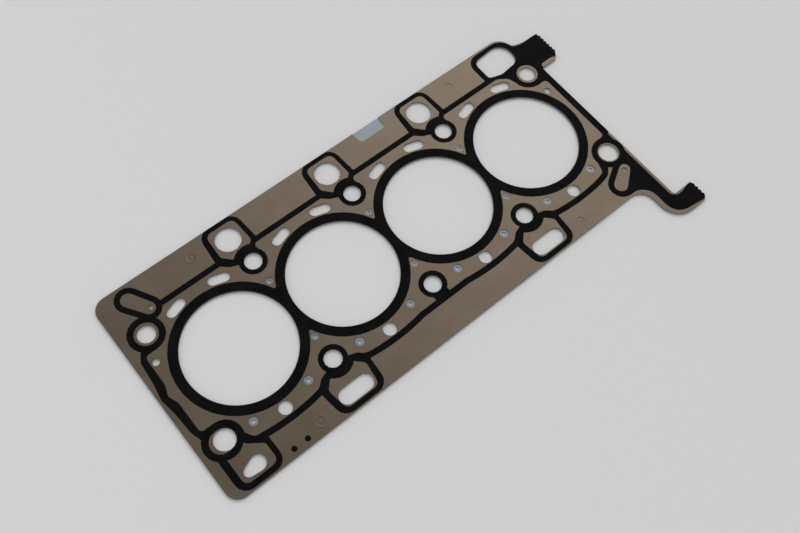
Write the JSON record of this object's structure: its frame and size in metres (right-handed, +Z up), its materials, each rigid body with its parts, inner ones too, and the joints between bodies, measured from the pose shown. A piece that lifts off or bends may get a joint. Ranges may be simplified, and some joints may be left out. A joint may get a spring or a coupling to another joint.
{
  "type": "cylinder head gasket",
  "caption": "Layered steel cylinder head gasket: a long sheet with a row of round bore openings, bolt, oil and water holes, black printed seals and arms round the chain case.",
  "frame": {"origin": "middle of the bore row, on the underside of the carrier sheet", "axes": "+X along the bore row towards the chain case, +Y towards the row of round oil passages, +Z up through the sheets towards the cylinder head"},
  "size_m": [0.3627, 0.1841, 0.0013],
  "materials": {
    "carrier_steel": "satin",
    "coated_steel": "satin, thin warm grey coat",
    "black_elastomer": "matt"
  },
  "bodies": {
    "root": {"carrier_sheet": "carrier_steel", "upper_sheet": "coated_steel", "bore_print": "black_elastomer", "track_print": "black_elastomer", "thickness_marks": "black_elastomer"}
  },
  "joints": []
}
